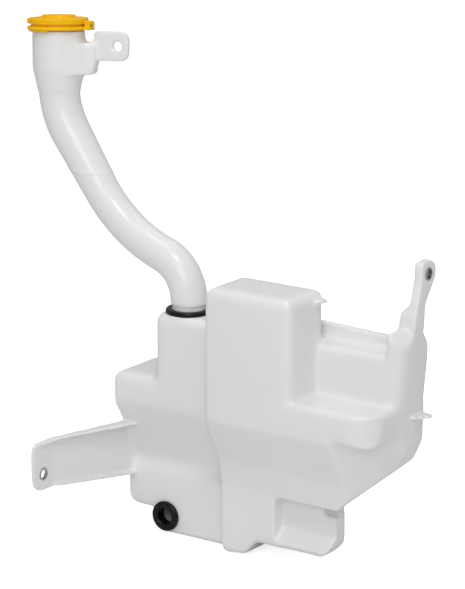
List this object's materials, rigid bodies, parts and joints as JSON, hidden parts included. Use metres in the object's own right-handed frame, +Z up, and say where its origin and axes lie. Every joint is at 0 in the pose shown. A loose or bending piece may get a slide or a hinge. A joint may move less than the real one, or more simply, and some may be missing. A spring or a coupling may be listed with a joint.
{
  "type": "washer fluid reservoir",
  "caption": "White blow-moulded washer fluid reservoir with a long bent filler neck, hinged yellow filler cap, rubber pump grommet and bushed mounting arms.",
  "frame": {"origin": "on the flat underside of the sump, below the left side of the tall block, 60 mm behind the front wall", "axes": "+X to the right seen from the front, +Y from the front wall to the back, +Z up"},
  "size_m": [0.4133, 0.1768, 0.4664],
  "materials": {
    "milky_plastic": "natural milky blow-moulded polyethylene, soft sheen",
    "yellow_plastic": "injection-moulded yellow polypropylene, semi-gloss",
    "black_rubber": "smooth black moulded rubber",
    "bush_steel": "plain zinc-grey steel, turned"
  },
  "bodies": {
    "reservoir": {"tank": "milky_plastic", "filler_neck": "milky_plastic", "neck_seal": "black_rubber", "pump_grommet": "black_rubber", "cap_collar": "yellow_plastic", "upper_bush": "bush_steel", "lower_bush": "bush_steel"},
    "lid": {"cap_lid": "yellow_plastic"}
  },
  "joints": [
    {"name": "lid_hinge", "type": "hinge", "parent": "reservoir", "child": "lid", "pos_m": [-0.16657, -0.0012, 0.4591], "axis": [-0.2045, 0.9733, -0.1042], "range_deg": [0, 120]}
  ]
}
